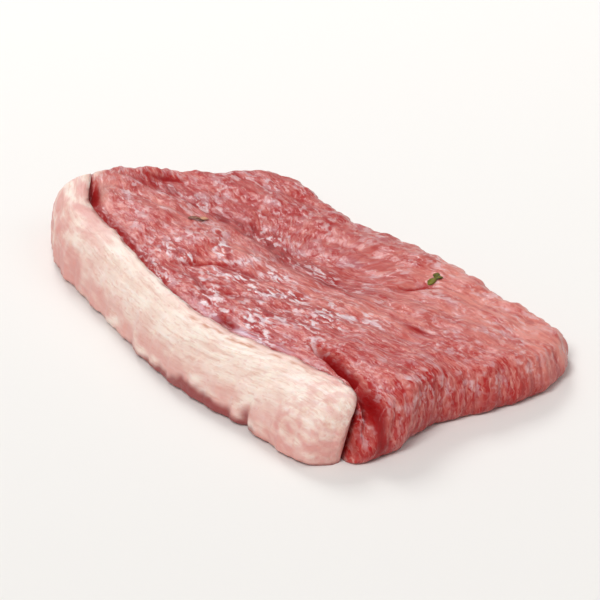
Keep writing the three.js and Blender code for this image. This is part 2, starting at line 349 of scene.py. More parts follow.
@dataclass(frozen=True)
class Cut:
    """The steak's outline and heights, as its solids have them but with the seam all but closed.

    The curves of several values are read at even stations: down the length, or across for the two ends
    and the thickness. Outlines are shares of the width or length, and the step is in millimetres.
    """

    length: float = 182.0
    width: float = 112.0
    seam_height: float = 20.0
    free_height: float = 11.5
    seam_gap: float = 0.06
    seam_lean_out: float = 8.0
    seam: tuple[float, ...] = (-0.272, -0.272, -0.312, -0.358, -0.362, -0.334, -0.294, -0.253, -0.12)
    free: tuple[float, ...] = (0.46, 0.482, 0.462, 0.472, 0.446, 0.396, 0.406, 0.426, 0.43)
    fat_reach: tuple[float, ...] = (0.18, 0.193, 0.166, 0.138, 0.122, 0.116, 0.126, 0.126, 0.15)
    front: tuple[float, ...] = (-0.484, -0.488, -0.459, -0.468, -0.482, -0.476, -0.44)
    far: tuple[float, ...] = (0.483, 0.474, 0.452, 0.432, 0.406, 0.376, 0.335)
    thickness: tuple[float, ...] = (0.98, 1.0, 0.94, 0.81, 0.74, 0.67, free_height / seam_height)
    free_ragged: Wave = Wave(0.8, (3.3, 0.0), 40.0)
    front_ragged: Wave = Wave(0.8, (260.0, 0.0), 10.0)
    far_ragged: Wave = Wave(0.8, (230.0, 0.0), 70.0)
    swell: Wave = Wave(0.8, (0.9, 0.8))
    ripple: Wave = Wave(0.4, (2.3, 1.5), 30.0)
    edge_round: float = 5.0
    edge_drop: float = 3.2
    side_bulge: float = 1.6
    bulge_level: float = 0.45
    foot_inset: float = 1.8
    corner_share: float = 0.11
    corner_cut: float = 9.0
    seam_corner_share: float = 0.03
    seam_corner_cut: float = 2.0
    step: tuple[float, ...] = (20.9, 14.9, 7.9, 1.1, 2.7, -3.6, -15.1)
    step_drop: float = 2.2
    step_down: Window = Window(0.0, 6.0, 6.0, 48.0)
    step_window: Window = Window(-42.0, -16.0, 68.0, 86.0)
    seam_dip: tuple[float, ...] = (1.0, 0.5, 0.4, 1.3, 0.4, 1.6, 2.2, 2.6, 1.4)
    seam_dip_beside: Bell = Bell(0.0, 1.7)
    seam_dip_end: Ramp = Ramp(84.0, 80.0)
    far_slit: Crease = Crease((-19.3, 80.5), (-27.0, 67.0), 4.4, 2.2)
    creases: tuple[Crease, ...] = (
        Crease((-24.2, -47), (-25.6, -72), 7.0, 1.35, open=True),
        Crease((-25.4, -70), (-30.2, -94), 8.2, 2.4, open=True),
        far_slit,
        Crease((-28.6, 19.5), (-11.6, 7), 1.4, 1.4),
        Crease((-28.1, 14), (-32.1, -4), 1.2, 1.4),
        Crease((-18.6, 13), (-9.8, -4), 1.2, 1.5),
        Crease((-28.6, -5), (-20.6, -16), 0.9, 1.5),
        Crease((0, 77), (11, 70.6), 1.3, 1.8),
        Crease((24.6, -25.8), (36.4, -31.8), 1.2, 1.4),
        Crease((10.2, -49.4), (13.8, -60.4), 1.3, 1.4),
        Crease((15.7, -34.4), (14.9, -43.6), 1.0, 1.4, red=0.2),
    )

    def station(self, y: Array) -> Array:
        """The share of the length at y, from 0 at the front end."""
        return (y + self.length / 2) / self.length

    def seam_x(self, y: Array) -> Array:
        """Where fat and lean meet on the upper side."""
        return self.width * through(self.seam, self.station(y))

    def free_x(self, y: Array) -> Array:
        """The thin edge's outline: its curve and a ragged wave."""
        return self.width * through(self.free, self.station(y)) + self.free_ragged.at(y)

    def seam_face(self, y: Array, z: Array) -> Array:
        """The face between fat and lean, which leans outwards on its way down."""
        return self.seam_x(y) - self.seam_lean_out * (1.0 - z / self.seam_height)

    def corner(self, s: Array) -> Array:
        """How far the two ends draw back to round the corners at the thin edge."""
        return self.corner_cut * (1.0 - quarter(1.0 - s, self.corner_share))

    def front_y(self, s: Array) -> Array:
        """The front end's outline at a share s across, with a small round beside the fat too."""
        rounds = self.corner(s) + self.seam_corner_cut * (1.0 - quarter(s, self.seam_corner_share))
        return self.length * through(self.front, s) + rounds + self.front_ragged.at(s)

    def far_y(self, s: Array) -> Array:
        """The far end's outline at a share s across."""
        return self.length * through(self.far, s) - self.corner(s) + self.far_ragged.at(s)

    def past_step(self, x: Array, y: Array) -> Array:
        """How far a place lies past the line where one muscle overlaps the next."""
        return x - through(self.step, self.station(y))

    def dip(self, x: Array, y: Array) -> Array:
        """The dip in the lean beside the fat: a bell on the seam, which closes at the far end."""
        beside = self.seam_dip_beside.at(x - self.seam_x(y))
        return through(self.seam_dip, self.station(y)) * beside * self.seam_dip_end.at(y)

    def top(self, x: Array, y: Array, s: Array, to_free: Array, to_front: Array, to_far: Array) -> Array:
        """Height of the lean's upper side: thickness, swells, the muscle step, creases and rounded borders.

        Args:
            x: Place across the steak.
            y: Place along the steak.
            s: Share of the way from the seam to the thin edge.
            to_free: Distance to the thin edge.
            to_front: Distance to the front end.
            to_far: Distance to the far end.

        Returns:
            The height above the foot.
        """
        z = self.seam_height * through(self.thickness, s) + self.swell.at(x, y) + self.ripple.at(x, y)
        z = z - self.step_drop * self.step_window.at(y) * self.step_down.at(self.past_step(x, y))
        depth = self.dip(x, y)
        for crease in self.creases:
            depth = np.maximum(depth, crease.depth * crease.share(x, y))
        rim = quarter(to_free, self.edge_round) * quarter(to_front, self.edge_round)
        return z - depth - self.edge_drop * (1.0 - rim * quarter(to_far, self.edge_round))

    def ground(self, x: Array, y: Array) -> Array:
        """Height of the upper side at a place well inside the borders."""
        s = (x - self.seam_x(y)) / (self.free_x(y) - self.seam_x(y))
        return self.top(x, y, s, self.free_x(y) - x, y - self.front_y(s), self.far_y(s) - y)

    def lean_points(self, s: Array, t: Array, q: Array) -> Array:
        """Points of the lean's surface.

        A place is a share s across between the seam face and the thin edge, and a share t along between
        the two ends. Its height is the share q of the upper side's, and below the top the borders bulge and
        draw in.

        Args:
            s: Share across.
            t: Share along.
            q: Level, 0 at the foot and 1 on the upper side.

        Returns:
            An array of points, three numbers each.
        """
        reach = lerp(-self.foot_inset, self.side_bulge, quarter(q, self.bulge_level)) * (1.0 - q**3)
        y = lerp(self.front_y(s) - reach, self.far_y(s) + reach, t)
        top_y = lerp(self.front_y(s), self.far_y(s), t)
        left, right = self.seam_x(top_y) + self.seam_gap / 2, self.free_x(top_y)
        top_x = lerp(left, right, s)
        z = q * self.top(top_x, top_y, s, right - top_x, top_y - self.front_y(s), self.far_y(s) - top_y)
        x = lerp(self.seam_face(y, z) + self.seam_gap / 2, self.free_x(y) + reach, s)
        return np.stack([x, y, z], axis=-1)


def spread(count: int, crowding: float) -> Array:
    """Shares from 0 to 1 that crowd towards both ends: u minus crowding times sin(2 pi u) over 2 pi."""
    u = np.linspace(0.0, 1.0, count + 1)
    return u - crowding * np.sin(2 * np.pi * u) / (2 * np.pi)


class Skin:
    """Collects the points and faces of one closed surface as whole arrays."""

    def __init__(self) -> None:
        """Starts with nothing."""
        self.blocks: list[Array] = []
        self.quads: list[Array] = []
        self.triangles: list[Array] = []
        self.count = 0

    def add(self, points: Array) -> Array:
        """Adds points.

        Args:
            points: An array of any shape, with three numbers for each point.

        Returns:
            The points' numbers, in the shape that the points have.
        """
        flat = points.reshape(-1, 3)
        numbers = np.arange(self.count, self.count + len(flat)).reshape(points.shape[:-1])
        self.blocks.append(flat)
        self.count += len(flat)
        return numbers

    def grid(self, n: Array) -> None:
        """Quads over a grid of numbers, facing up where columns run to +X and rows to +Y."""
        corners = [n[:-1, :-1], n[:-1, 1:], n[1:, 1:], n[1:, :-1]]
        self.quads.append(np.stack(corners, axis=-1).reshape(-1, 4))

    def band(self, first: Array, second: Array) -> None:
        """Quads between two rings of equal length, the second below or past the first."""
        self.quads.append(np.stack([first, second, np.roll(second, -1), np.roll(first, -1)], axis=-1))

    def halve(self, outer: Array, inner: Array) -> None:
        """Triangles from a ring to one inside it with half as many points.

        Args:
            outer: The ring's numbers.
            inner: The numbers of the ring inside it.
        """
        p, q, r = outer[0::2], outer[1::2], np.roll(outer[0::2], -1)
        a, b = inner, np.roll(inner, -1)
        self.triangles += [np.stack(three, axis=-1) for three in ((p, a, q), (q, a, b), (q, b, r))]

    def fan(self, ring: Array, centre: Array) -> None:
        """Triangles from a ring to one point."""
        middle = np.full(len(ring), int(centre))
        self.triangles.append(np.stack([ring, middle, np.roll(ring, -1)], axis=-1))

    def points(self) -> Array:
        """All the points so far."""
        return np.concatenate(self.blocks)

    def normals(self, points: Array) -> Array:
        """Unit normals: the sum of the crossed diagonals or edges of the faces round each point.

        Args:
            points: The skin's points.

        Returns:
            An array of directions, three numbers each.
        """
        total = np.zeros_like(points)
        for faces in [*self.quads, *self.triangles]:
            corner = points[faces]
            face = np.cross(corner[:, 2] - corner[:, 0], corner[:, -1] - corner[:, 1])
            for k in range(faces.shape[1]):
                np.add.at(total, faces[:, k], face)
        return total / np.maximum(np.linalg.norm(total, axis=1, keepdims=True), 1e-12)


def mesh_of(name: str, skin: Skin, points: Array) -> bpy.types.Object:
    """Makes a smooth-shaded object in the scene from a skin.

    Args:
        name: The piece's name.
        skin: Its faces.
        points: Its points, in millimetres.

    Returns:
        The object, at the origin.
    """
    quads = np.concatenate(skin.quads)
    triangles = np.concatenate(skin.triangles)
    corners = np.concatenate([quads.ravel(), triangles.ravel()]).astype(np.int32)
    sizes = np.concatenate([np.full(len(quads), 4), np.full(len(triangles), 3)])
    starts = np.concatenate([[0], np.cumsum(sizes)[:-1]]).astype(np.int32)
    mesh = bpy.data.meshes.new(name)
    mesh.vertices.add(len(points))
    mesh.vertices.foreach_set("co", (points * MM).astype(np.float32).ravel())
    mesh.loops.add(len(corners))
    mesh.loops.foreach_set("vertex_index", corners)
    mesh.polygons.add(len(sizes))
    mesh.polygons.foreach_set("loop_start", starts)
    mesh.polygons.foreach_set("use_smooth", np.ones(len(sizes), bool))
    mesh.update(calc_edges=True)
    mesh.validate()
    piece = bpy.data.objects.new(name, mesh)
    bpy.context.scene.collection.objects.link(piece)
    return piece


def mark(piece: bpy.types.Object, name: str, values: Array) -> None:
    """Writes one number or one vector for each point of a piece, for its material to read.

    Args:
        piece: The piece.
        name: The mark's name.
        values: One number or three numbers for each point.
    """
    kind, key = ("FLOAT_VECTOR", "vector") if values.ndim == 2 else ("FLOAT", "value")
    attribute = piece.data.attributes.new(name, kind, "POINT")
    attribute.data.foreach_set(key, values.astype(np.float32).ravel())


def new_material(name: str) -> bpy.types.Material:
    """Makes a material that has no nodes yet.

    Args:
        name: Its name, for what the real thing is.

    Returns:
        The material.
    """
    material = bpy.data.materials.new(name)
    material.use_nodes = True
    material.node_tree.nodes.clear()
    return material


def add(
    tree: bpy.types.NodeTree, kind: str, settings: dict | None = None, **inputs: object
) -> bpy.types.Node:
    """Adds a node to a shader.

    Args:
        tree: The shader's nodes.
        kind: Blender's name of the node type.
        settings: Properties of the node itself.
        inputs: Values or sockets by input name, or by place as i0, i1 and so on.

    Returns:
        The node.
    """
    node = tree.nodes.new(kind)
    for key, value in (settings or {}).items():
        setattr(node, key, value)
    for key, value in inputs.items():
        socket = node.inputs[int(key[1:]) if key[1:].isdigit() else key.replace("_", " ")]
        if isinstance(value, bpy.types.NodeSocket):
            tree.links.new(value, socket)
        else:
            socket.default_value = value
    return node


class Kind(Enum):
    """The kinds of pattern, each with its node, the node's settings and the output that is read."""

    CLOUD = ("ShaderNodeTexNoise", {}, "Fac")
    CELLS = ("ShaderNodeTexVoronoi", {"feature": "F1"}, "Color")
    DOMES = ("ShaderNodeTexVoronoi", {"feature": "F1"}, "Distance")
    NET = ("ShaderNodeTexVoronoi", {"feature": "DISTANCE_TO_EDGE"}, "Distance")


@dataclass(frozen=True)
class Pattern:
    """A pattern, and its size in millimetres across the grain, along it and through the thickness."""

    name: str
    kind: Kind
    size: tuple[float, float, float]
    detail: float = 0.0

    def add_to(self, tree: bpy.types.NodeTree, grain: bpy.types.NodeSocket) -> bpy.types.NodeSocket:
        """Adds the pattern to a shader.

        Args:
            tree: The shader's nodes.
            grain: The place by the grain, in millimetres.

        Returns:
            The pattern's value.
        """
        node, settings, output = self.kind.value
        scale = tuple(1.0 / size for size in self.size)
        place = add(tree, "ShaderNodeMapping", Vector=grain, Scale=scale).outputs[0]
        return add(tree, node, settings, Vector=place, Scale=1.0, Detail=self.detail).outputs[output]


@dataclass(frozen=True)
class Tint:
    """A colour laid over those before it: none where a pattern or mark is low, its share where that is high.

    Within names a mark that keeps the tint to its own places.
    """

    where: str
    colour: str
    low: float = 0.0
    high: float = 1.0
    share: float = 1.0
    within: str = ""


@dataclass(frozen=True)
class Bump:
    """Relief too fine for the mesh: how far in millimetres a pattern's whole range stands out."""

    where: str
    depth: float


@dataclass(frozen=True)
class Finish:
    """A procedural material, laid out along the grain that the piece's mesh carries.

    The depth is how far red light enters, in millimetres, and the tones are that of the three colours
    against it. The warp stirs the grain, in millimetres, and rough names a pattern and the roughness at both
    ends of its span.
    """

    name: str
    base: str
    marks: tuple[str, ...]
    patterns: tuple[Pattern, ...]
    tints: tuple[Tint, ...]
    bumps: tuple[Bump, ...]
    rough: tuple[str, float, float]
    ior: float
    rough_span: tuple[float, float] = (0.3, 0.7)
    warp: float = 0.0
    warp_scale: float = 0.45
    body: float = 0.0
    depth: float = 1.0
    tones: tuple[float, float, float] = (1.0, 0.5, 0.4)
    specular: float = 0.5
    coat: float = 0.0
    coat_rough: float = 0.2
    coat_ior: float = 1.34
    coat_bumps: tuple[Bump, ...] = ()

    def material(self) -> bpy.types.Material:
        """Builds the material.

        Returns:
            The material, with its one shader.
        """
        material = new_material(self.name)
        tree = material.node_tree
        grain = add(tree, "ShaderNodeAttribute", {"attribute_name": "grain"}).outputs["Vector"]
        if self.warp:
            stir = add(tree, "ShaderNodeTexNoise", Vector=grain, Scale=self.warp_scale, Detail=1.0)
            inputs = {"i0": stir.outputs["Color"], "i1": (self.warp,) * 3, "i2": grain}
            grain = add(tree, "ShaderNodeVectorMath", {"operation": "MULTIPLY_ADD"}, **inputs).outputs[0]
        values = {}
        for name in self.marks:
            values[name] = add(tree, "ShaderNodeAttribute", {"attribute_name": name}).outputs["Fac"]
        for pattern in self.patterns:
            values[pattern.name] = pattern.add_to(tree, grain)
        flat = add(tree, "ShaderNodeNewGeometry").outputs["Normal"]
        normal = self.uneven(tree, values, self.bumps, flat)
        film = self.uneven(tree, values, self.coat_bumps, normal)
        where, low, high = self.rough
        start, end = self.rough_span
        rough = add(tree, "ShaderNodeMapRange", i0=values[where], i1=start, i2=end, i3=low, i4=high)
        surface = add(
            tree, "ShaderNodeBsdfPrincipled", Base_Color=self.colour(tree, values),
            Roughness=rough.outputs[0], Normal=normal, IOR=self.ior, Specular_IOR_Level=self.specular,
            Subsurface_Weight=self.body, Subsurface_Radius=self.tones, Subsurface_Scale=self.depth * MM,
            Coat_Weight=self.coat, Coat_Roughness=self.coat_rough, Coat_IOR=self.coat_ior, Coat_Normal=film,
        )
        add(tree, "ShaderNodeOutputMaterial", Surface=surface.outputs[0])
        return material

    def colour(
        self, tree: bpy.types.NodeTree, values: dict[str, bpy.types.NodeSocket]
    ) -> bpy.types.NodeSocket:
        """Lays the tints over the base, one after another.

        Args:
            tree: The shader's nodes.
            values: The marks and patterns by name.

        Returns:
            The colour.
        """
        colour = linear(self.base)
        for tint in self.tints:
            spans = {"i1": tint.low, "i2": tint.high, "i3": 0.0, "i4": tint.share}
            share = add(tree, "ShaderNodeMapRange", i0=values[tint.where], **spans).outputs[0]
            if tint.within:
                both = {"i0": share, "i1": values[tint.within]}
                share = add(tree, "ShaderNodeMath", {"operation": "MULTIPLY"}, **both).outputs[0]
            colours = {"i6": colour, "i7": linear(tint.colour)}
            colour = add(tree, "ShaderNodeMix", {"data_type": "RGBA"}, i0=share, **colours).outputs[2]
        return colour

    def uneven(
        self, tree: bpy.types.NodeTree, values: dict[str, bpy.types.NodeSocket], bumps: tuple[Bump, ...],
        normal: bpy.types.NodeSocket,
    ) -> bpy.types.NodeSocket:
        """Adds bumps to a normal.

        Args:
            tree: The shader's nodes.
            values: The marks and patterns by name.
            bumps: The bumps to add.
            normal: The normal without them.

        Returns:
            The normal with them.
        """
        for bump in bumps:
            inputs = {"Height": values[bump.where], "Distance": abs(bump.depth) * MM, "Normal": normal}
            normal = add(tree, "ShaderNodeBump", {"invert": bump.depth < 0}, **inputs).outputs[0]
        return normal


# Freshly cut beef muscle, cut across its grain: small domed bundles in a paler net, under a film of moisture.
# Its glints and sheen are partly painted: pale lilac-white flecks and patches where the meat is moist.
MOIST_LEAN = Finish(
    name="raw_beef_lean",
    base="#b63430",
    marks=("blood", "pale", "rind", "silver", "moist_glint_zone"),
    warp=1.6,
    patterns=(
        Pattern("bundle", Kind.CELLS, (1.3, 2.4, 4.0)),
        Pattern("dome", Kind.DOMES, (1.3, 2.4, 4.0)),
        Pattern("net", Kind.NET, (4.6, 9.5, 9.0)),
        Pattern("hair", Kind.CLOUD, (0.65, 3.0, 3.0), 2.0),
        Pattern("strand", Kind.CLOUD, (1.6, 10.0, 6.0), 3.0),
        Pattern("blotch", Kind.CLOUD, (6.0, 11.0, 7.0), 3.0),
        Pattern("film", Kind.CLOUD, (1.6, 3.2, 2.2), 2.5),
        Pattern("sheen", Kind.CLOUD, (3.4, 6.0, 4.0), 2.5),
    ),
    tints=(
        Tint("blotch", "#ae1718", 0.5, 0.36, 0.9),
        Tint("blotch", "#d07066", 0.5, 0.66, 0.7),
        Tint("bundle", "#ae1919", 0.48, 0.2, 0.7),
        Tint("bundle", "#d58378", 0.52, 0.85, 0.55),
        Tint("strand", "#a91616", 0.47, 0.36, 0.75),
        Tint("strand", "#d98a7e", 0.54, 0.68, 0.5),
        Tint("hair", "#a61515", 0.45, 0.34, 0.6),
        Tint("hair", "#e6b0a5", 0.57, 0.7, 0.5),
        Tint("net", "#dc958c", 0.07, 0.0, 0.22),
        Tint("pale", "#dc897c"),
        Tint("rind", "#f0d0c0"),
        # Painted sheen: larger pale lilac patches where the meat is moist, between darker red patches.
        Tint("sheen", "#9c1018", 0.48, 0.39, 0.9, within="moist_glint_zone"),
        Tint("sheen", "#dcc0c6", 0.53, 0.62, 1.0, within="moist_glint_zone"),
        # Deep red of blood, which in the valley past the muscle step and over the thin side's far half is
        # painted shade.
        Tint("blood", "#980a0d", 0.0, 0.7, 0.96),
        # Painted glints: small pale flecks where the meat is moist, between darker red flecks.
        Tint("film", "#9c1019", 0.48, 0.38, 0.85, within="moist_glint_zone"),
        Tint("film", "#ead9dc", 0.52, 0.63, 1.0, within="moist_glint_zone"),
        Tint("silver", "#d0afbf"),
        # The deepest red, also over the painted shade in the valley where it is strongest.
        Tint("blood", "#8a0306", 0.72, 1.0, 0.92),
    ),
    bumps=(Bump("dome", -0.1), Bump("strand", 0.12), Bump("hair", 0.08), Bump("film", 0.1)),
    rough=("film", 0.42, 0.6),
    ior=1.37,
    body=0.2,
    depth=1.0,
    tones=(1.0, 0.3, 0.22),
    specular=0.25,
    coat=0.58,
    coat_rough=0.16,
    coat_bumps=(Bump("hair", 0.14), Bump("film", 0.25)),
)

# Firm outer beef fat: waxy cream with fine long striations, pinker where it thins over the red meat. Low on
# its outer face, painted shade and a painted rosy bounce from the meat turn it pinker, and along the foot
# painted shade turns it red.
BEEF_FAT = Finish(
    name="raw_beef_fat",
    base="#efd6c8",
    marks=("pink_and_low_shade", "red", "tan"),
    warp=0.8,
    patterns=(
        Pattern("line", Kind.CLOUD, (1.5, 20.0, 1.5), 3.0),
        Pattern("hair", Kind.CLOUD, (0.7, 7.0, 0.7), 2.0),
        Pattern("lump", Kind.CLOUD, (5.0, 9.0, 5.0), 3.0),
        Pattern("fleck", Kind.CLOUD, (1.2, 2.4, 1.2), 1.0),
    ),
    tints=(
        Tint("lump", "#f6e5d8", 0.42, 0.6),
        Tint("line", "#e0b8a9", 0.46, 0.3, 0.7),
        Tint("line", "#fbf0e8", 0.54, 0.7, 0.6),
        Tint("hair", "#d9a692", 0.44, 0.3, 0.45),
        Tint("fleck", "#d79488", 0.6, 0.74, 0.3),
        # Rosy tissue, and low on the outer face painted shade with a painted bounce of red light.
        Tint("pink_and_low_shade", "#db9a92"),
        Tint("tan", "#c2744e"),
        # Red tissue, and along the foot painted shade of the crevice beneath the fat.
        Tint("red", "#8c2427"),
    ),
    bumps=(Bump("line", 0.35), Bump("hair", 0.12), Bump("lump", 0.8)),
    rough=("lump", 0.42, 0.58),
    ior=1.45,
    body=0.35,
    depth=1.8,
    tones=(1.0, 0.6, 0.42),
    coat=0.12,
    coat_rough=0.25,
)


def thyme_leaf(name: str, dark: str, light: str) -> Finish:
    """A thyme leaflet's skin, matte, with a paler rib.

    Args:
        name: The material's name.
        dark: The colour of most of the leaf.
        light: The colour of its rib and flecks.

    Returns:
        The finish.
    """
    return Finish(
        name=name,
        base=dark,
        marks=("rib",),
        patterns=(Pattern("mottle", Kind.CLOUD, (1.0, 1.0, 1.0), 2.0),),
        tints=(Tint("mottle", light, 0.48, 0.78, 0.6), Tint("rib", light)),
        bumps=(Bump("mottle", 0.12),),
        rough=("mottle", 0.5, 0.62),
        ior=1.45,
        specular=0.25,
    )


class Dryness(Enum):
    """Whether a bit of thyme is fresh or has dried brown, with the finish of either."""

    FRESH = thyme_leaf("thyme_leaf_fresh", "#474703", "#8c801a")
    DRIED = thyme_leaf("thyme_leaf_dried", "#561a05", "#d39c78")


@dataclass
class Lean:
    """The slab of lean, as a fine closed surface with the grain of the meat in its relief.

    The bow pushes the fibres of the thinner muscle towards the thin edge, and the stirs unsettle them. Each
    zone and scatter is named for what it does. Rind, blood, pale and silver are marks of the finish, and so
    is the moist zone that lays the painted glints and sheen; blood also lays painted shade in the valley past
    the muscle step and over the thin side's far half.
    """

    cut: Cut
    across: int = 208
    along: int = 320
    wall_rows: int = 14
    crowding: float = 0.25
    foot_rings: tuple[float, ...] = (0.95, 0.86, 0.66)
    bow: Zone = Zone(18.0, x=Bell(15.0, 22.0), y=Bell(-2.0, 28.0))
    seam_follow: float = 0.7
    seam_reach: float = 22.0
    stirs_across: tuple[Scatter, ...] = (
        Scatter(Laid.PLAN, (30.0, 40.0), 21, gain=3.0),
        Scatter(Laid.PLAN, (7.0, 9.0), 23, gain=0.9),
    )
    stir_along: Scatter = Scatter(Laid.PLAN, (26.0, 26.0), 25, gain=4.0)
    lines: tuple[Crease, ...] = (
        Crease((37.9, -31.5), (40.1, -41.1), 0.4, 0.9, red=0.6),
        Crease((22.2, -34.4), (26.9, -41.7), 0.3, 0.9, red=0.5),
        Crease((14.7, -42.2), (16.2, -46.4), 0.3, 0.8, red=0.5),
    )
    pocket: Zone = Zone(1.4, beside=Bell(2.3, 1.7), y=Bell(-20.8, 4.3))
    pocket_depth: float = 1.5
    bundles: tuple[Scatter, ...] = (
        Scatter(Laid.PLAN, (13.0, 16.0), 31, 3, gain=0.45),
        Scatter(Laid.GRAIN, (3.4, 9.0), 33, gain=0.15),
        Scatter(Laid.GRAIN, (1.7, 3.4), 35, 1, gain=0.09),
    )
    wet_lumps: Scatter = Scatter(Laid.GRAIN, (2.8, 5.5), 37, mean=-0.15, gain=0.4)
    ridges: tuple[Scatter, ...] = (
        Scatter(Laid.WALL, (3.4, 9.0), 39, gain=0.42),
        Scatter(Laid.WALL, (9.0, 6.0), 41, gain=0.4),
    )
    off_seam: Ramp = Ramp(0.0, 1.2)
    front_face: Ramp = Ramp(-82.0, -85.0)
    off_foot: Ramp = Ramp(0.0, 0.25)
    upper_relief: Ramp = Ramp(0.6, 1.0)
    wet_near: Zone = Zone(1.0, past=Ramp(-1.0, -9.0), y=Window(-62.0, -36.0, 24.0, 42.0))
    wet_hollow: Zone = Zone(0.75, past=Bell(10.0, 8.0), y=Window(-36.0, -14.0, 62.0, 84.0))
    wet_least: float = 0.36
    wet_far: Zone = Zone(0.1, y=Ramp(30.0, 50.0))
    wet_patches: Scatter = Scatter(Laid.PLAN, (7.0, 10.0), 43, mean=0.55)
    dry_width: float = 0.8
    rind_corner: Zone = Zone(1.0, beside=Bell(1.5, 3.6), y=Ramp(80.5, 85.0))
    rind_ring: float = 1.1
    rind_widths: tuple[float, float] = (1.7, 1.05)
    rind_patches: Scatter = Scatter(Laid.PLAN, (3.0, 3.0), 55, mean=0.85, gain=0.4)
    rind_most: float = 0.9
    blood_line: Zone = Zone(1.0, y=Window(8.0, 32.0, 68.0, 76.0))
    blood_line_patches: Scatter = Scatter(Laid.SEAM, (2.0, 7.0), 53, mean=0.75, gain=0.35)
    blood_line_most: float = 0.84
    blood_line_beside: Bell = Bell(1.9, 1.5)
    blood_seam: Zone = Zone(0.7, beside=Bell(0.0, 0.8))
    blood_foot: float = 0.4
    # Painted shade in the valley past the muscle step, laid as deep red and broken into dashes.
    valley_shade_and_red: Zone = Zone(1.15, past=Bell(6.0, 6.5))
    dashes: Scatter = Scatter(Laid.GRAIN, (2.4, 8.0), 45, mean=0.3, gain=1.3)
    dashes_least: float = 0.32
    # Painted shade: a faint darkening over the thin side's far half, laid with the deep red.
    thin_side_shade: Zone = Zone(0.17, x=Ramp(8.0, 24.0), y=Ramp(-30.0, 0.0))
    # Deeper red lower down the cut sides, in patches.
    side_redder_low: Zone = Zone(
        0.4, level=Ramp(0.95, 0.2), broken=Scatter(Laid.SIDE, (9.0, 1.0 / 3.0), 47, mean=0.6)
    )
    pale_zones: tuple[Zone, ...] = (
        Zone(0.5, past=Bell(-7.0, 8.0), y=Ramp(-62.0, -38.0)),
        Zone(1.35, x=Ramp(8.0, 48.0), y=Ramp(30.0, -60.0)),
        Zone(0.4, x=Bell(6.0, 18.0), y=Bell(-38.0, 22.0)),
    )
    pale_streaks: Scatter = Scatter(Laid.GRAIN, (3.5, 16.0), 49, 3, mean=0.58, gain=0.8)
    pale_rim: Zone = Zone(0.4, beside=Bell(5.0, 1.3), y=Ramp(30.0, 50.0))
    pale_most: float = 0.92
    silver_strip: Zone = Zone(
        1.0, beside=Bell(2.2, 1.3), y=Bell(-28.0, 22.0),
        broken=Scatter(Laid.SEAM, (1.6, 6.0), 51, mean=0.6, gain=1.1),
    )
    silver_gap: Bell = Bell(-20.8, 4.8)
    silver_most: float = 0.85
    upper_colour: Ramp = Ramp(0.5, 0.9)
    rind_level: Ramp = Ramp(0.2, 0.7)
    pale_walls: float = 0.4
    wall_glint_share: float = 0.3

    def spots(self, points: Array, level: Array) -> Spots:
        """Measures places on the lean, by the meat's own grain too.

        The fibres run down the length. Beside the fat they follow the seam, and in the middle of the thinner
        muscle they bow towards the thin edge. Soft patches stir all of it.

        Args:
            points: The places, three numbers each.
            level: Their levels, 0 at the foot and 1 on the upper side.

        Returns:
            The places with their measures.
        """
        x, y, z = points.T
        seam = self.cut.seam_x(y)
        at = Spots(x, y, z, x - seam, x, y, self.cut.past_step(x, y), level)
        fading = self.seam_follow * np.exp(-np.maximum(at.beside, 0.0) / self.seam_reach)
        across = x + self.bow.at(at) - (seam - self.cut.seam_x(0.0)) * fading
        across = across + sum(stir.at(at) for stir in self.stirs_across)
        at.across, at.along = across, y + self.stir_along.at(at)
        return at

    def build(self) -> tuple[Skin, Array, Array]:
        """Builds the base surface: a grid on top, walls below its border and rings that close the foot.

        Returns:
            The skin, its points, and the level of each point from 0 at the foot to 1 on the upper side.
        """
        skin = Skin()
        s, t = spread(self.across, self.crowding), spread(self.along, self.crowding)
        grid_t, grid_s = np.meshgrid(t, s, indexing="ij")
        grid = skin.add(self.cut.lean_points(grid_s, grid_t, np.ones_like(grid_s)))
        skin.grid(grid)
        i, j = np.arange(self.across), np.arange(self.along)
        right, left = np.full(self.along, self.across), np.zeros(self.along, int)
        front, far = np.zeros(self.across, int), np.full(self.across, self.along)
        border_i = np.concatenate([i, right, i[::-1] + 1, left])
        border_j = np.concatenate([front, j, far, j[::-1] + 1])
        ring = grid[border_j, border_i]
        levels = [np.ones(grid.size)]
        for row in range(1, self.wall_rows + 1):
            level = np.full(len(ring), 1.0 - row / self.wall_rows)
            points = self.cut.lean_points(s[border_i], t[border_j], level)
            below = skin.add(points)
            levels.append(level)
            skin.band(ring, below)
            ring = below
        foot = points
        middle = foot.mean(axis=0)
        for k, share in enumerate(self.foot_rings):
            inner = skin.add(lerp(middle, foot[:: 2 ** (k + 1)], share))
            levels.append(np.zeros(len(inner)))
            skin.halve(ring, inner)
            ring = inner
        skin.fan(ring, skin.add(middle[None, :])[0])
        levels.append(np.zeros(1))
        return skin, skin.points(), np.concatenate(levels)

    def relief(self, at: Spots) -> Array:
        """How far the grain stands out.

        On the upper side small bundles and their strands lie over slow swells, with coarser lumps where it
        is moist. The cut sides are ridged up and down, and the foot stays flat.

        Args:
            at: The places.

        Returns:
            Millimetres along each place's normal.
        """
        top = sum(bundle.at(at) for bundle in self.bundles) + self.wetness(at) * self.wet_lumps.at(at)
        for line in self.lines:
            top = top - line.depth * line.share(at.x, at.y)
        top = top - self.pocket_depth * np.minimum(self.pocket.at(at), 1.0)
        side = sum(ridge.at(at) for ridge in self.ridges)
        from_seam = self.off_seam.at(at.x - self.cut.seam_face(at.y, at.z))
        free = np.maximum(from_seam, self.front_face.at(at.y)) * self.off_foot.at(at.level)
        return free * lerp(side, top, self.upper_relief.at(at.level))

